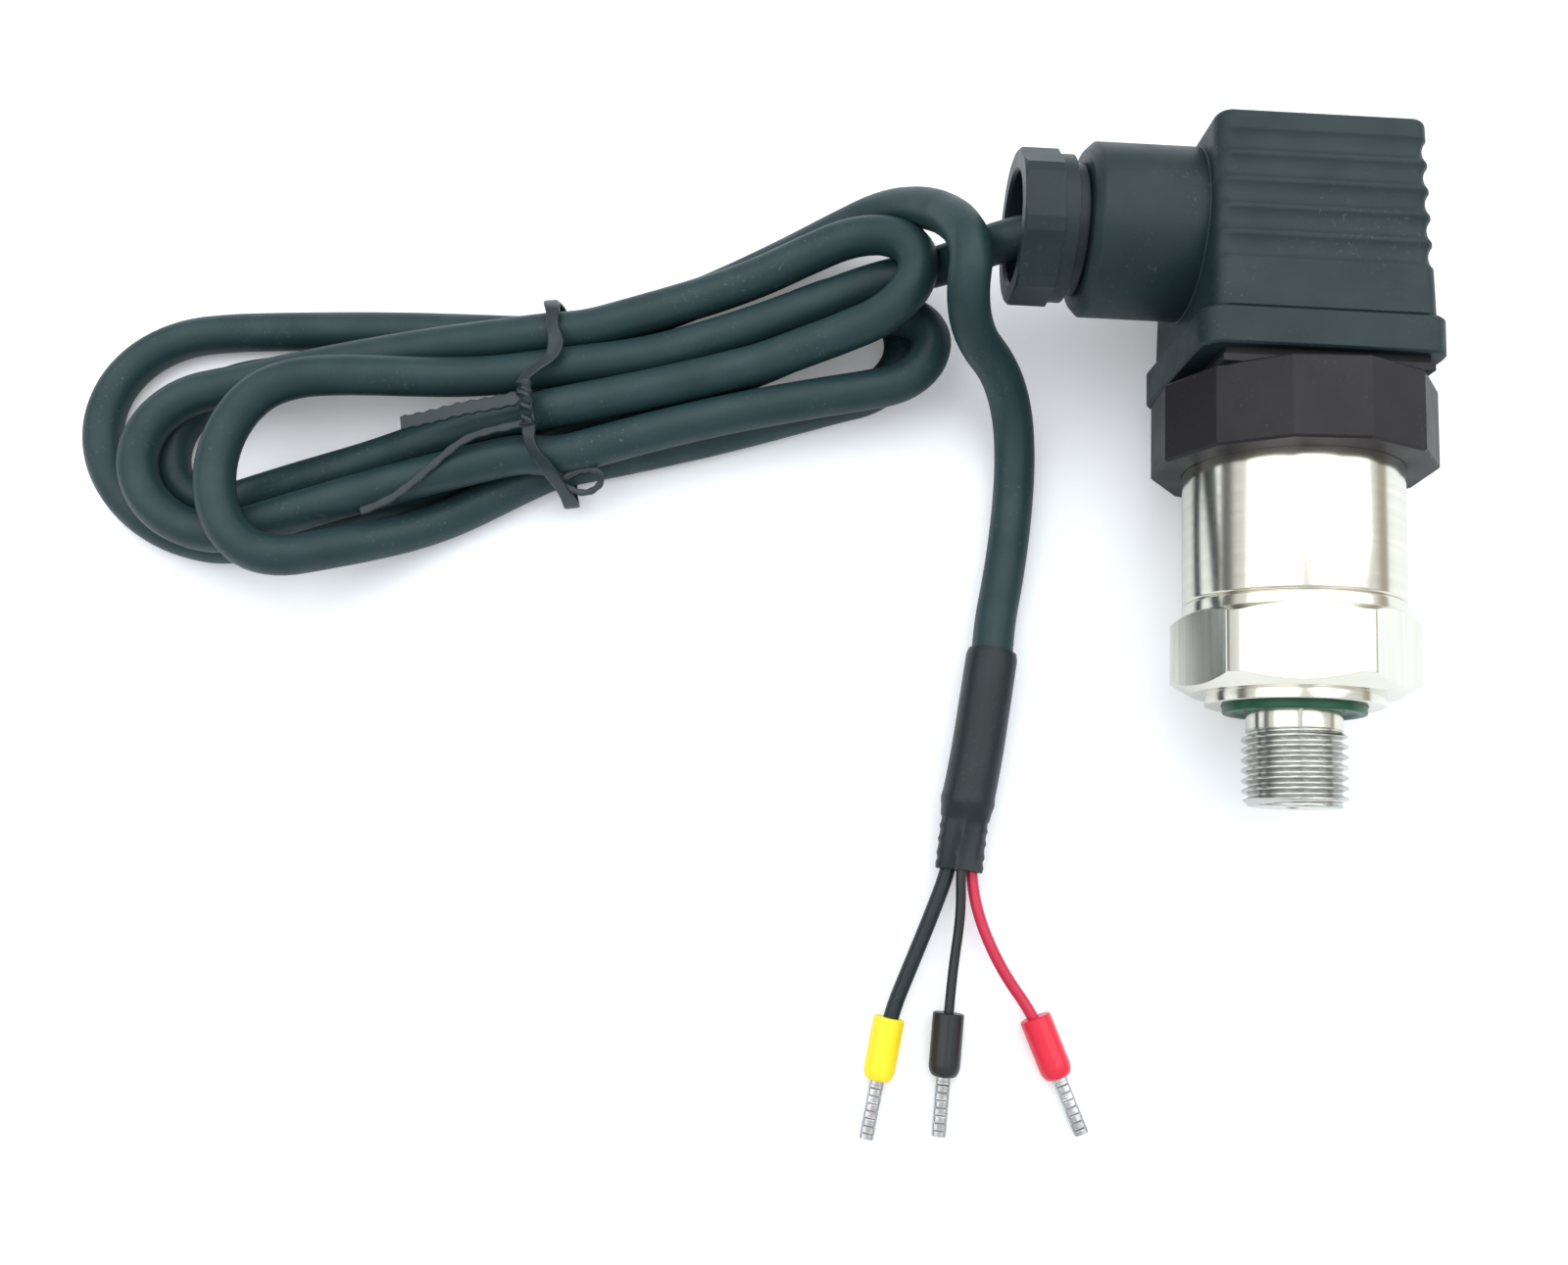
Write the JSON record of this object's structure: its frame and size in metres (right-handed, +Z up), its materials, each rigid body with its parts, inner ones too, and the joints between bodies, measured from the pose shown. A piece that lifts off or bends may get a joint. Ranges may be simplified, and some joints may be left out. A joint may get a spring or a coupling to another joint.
{
  "type": "pressure transmitter with cable plug",
  "caption": "Steel pressure transmitter with a sealed G 1/4 thread, hexagon and round housing, a square angled cable plug and a tied cable that ends in wires with ferrules.",
  "frame": {"origin": "on the table, under the middle of the instrument's own box, without its cable", "axes": "+Z up from the table, +Y along the instrument from the thread to the plug, -X the side where the cable gland points"},
  "size_m": [0.1915, 0.1356, 0.0359],
  "materials": {
    "steel": "machined stainless steel",
    "green_seal": "dark green elastomer",
    "ceramic_cell": "sintered ceramic",
    "black_rubber": "black rubber",
    "board": "solder-masked laminate",
    "chip": "moulded black",
    "base_plastic": "moulded, slightly grained",
    "brass": "turned",
    "tin_brass": "tin plated",
    "plug_plastic": "moulded, satin",
    "screw_steel": "zinc plated",
    "cable_jacket": "satin cable jacket",
    "tie_plastic": "glossy strip",
    "sleeve_plastic": "heat-shrink tube",
    "black_wire": "insulated wire",
    "red_wire": "insulated wire",
    "yellow_collar": "moulded collar",
    "black_collar": "moulded collar",
    "red_collar": "moulded collar",
    "tinned_copper": "tinned and crimped"
  },
  "bodies": {
    "transmitter": {"process_fitting": "steel", "housing_tube": "steel", "seal_ring": "green_seal", "sensor_cell": "ceramic_cell", "cell_ring": "black_rubber", "cell_retainer": "steel", "amplifier_board": "board", "board_components": "chip", "cell_flex": "board", "connector_base": "base_plastic", "base_ring": "black_rubber", "base_nut": "brass", "contact_blade_1": "tin_brass", "contact_blade_2": "tin_brass", "contact_blade_3": "tin_brass", "earth_blade": "tin_brass", "flat_gasket": "black_rubber", "plug_housing": "plug_plastic", "contact_insert": "plug_plastic", "terminal_1": "tin_brass", "terminal_2": "tin_brass", "terminal_3": "tin_brass", "terminal_4": "tin_brass", "terminal_screws": "screw_steel", "fixing_screw": "screw_steel", "screw_seal": "black_rubber", "gland_seal": "black_rubber", "cable_gland_run": "cable_jacket", "cable_hank": "cable_jacket", "twist_tie": "tie_plastic", "cable_lead": "cable_jacket", "lead_sleeve": "sleeve_plastic", "wire_shrunk": "sleeve_plastic", "wire_black": "black_wire", "wire_red": "red_wire", "ferrule_yellow_collar": "yellow_collar", "ferrule_yellow_crimp": "tinned_copper", "ferrule_black_collar": "black_collar", "ferrule_black_crimp": "tinned_copper", "ferrule_red_collar": "red_collar", "ferrule_red_crimp": "tinned_copper"},
    "gland_washer_group": {"gland_washer": "plug_plastic"},
    "gland_nut_group": {"gland_nut": "plug_plastic"}
  },
  "joints": [
    {"name": "washer_slide", "type": "slide", "parent": "transmitter", "child": "gland_washer_group", "axis": [-0.9968, -0.0068, 0.08], "range_m": [0, 0.00141]},
    {"name": "gland_nut_turn", "type": "hinge", "parent": "gland_washer_group", "child": "gland_nut_group", "pos_m": [0.01056, 0.03234, 0.02028], "axis": [-0.9968, -0.0068, 0.08], "range_deg": [0, 360]}
  ],
  "couplings": [
    {"joint": "washer_slide", "follows": "gland_nut_turn", "m_per_rad": 0.00022441}
  ]
}
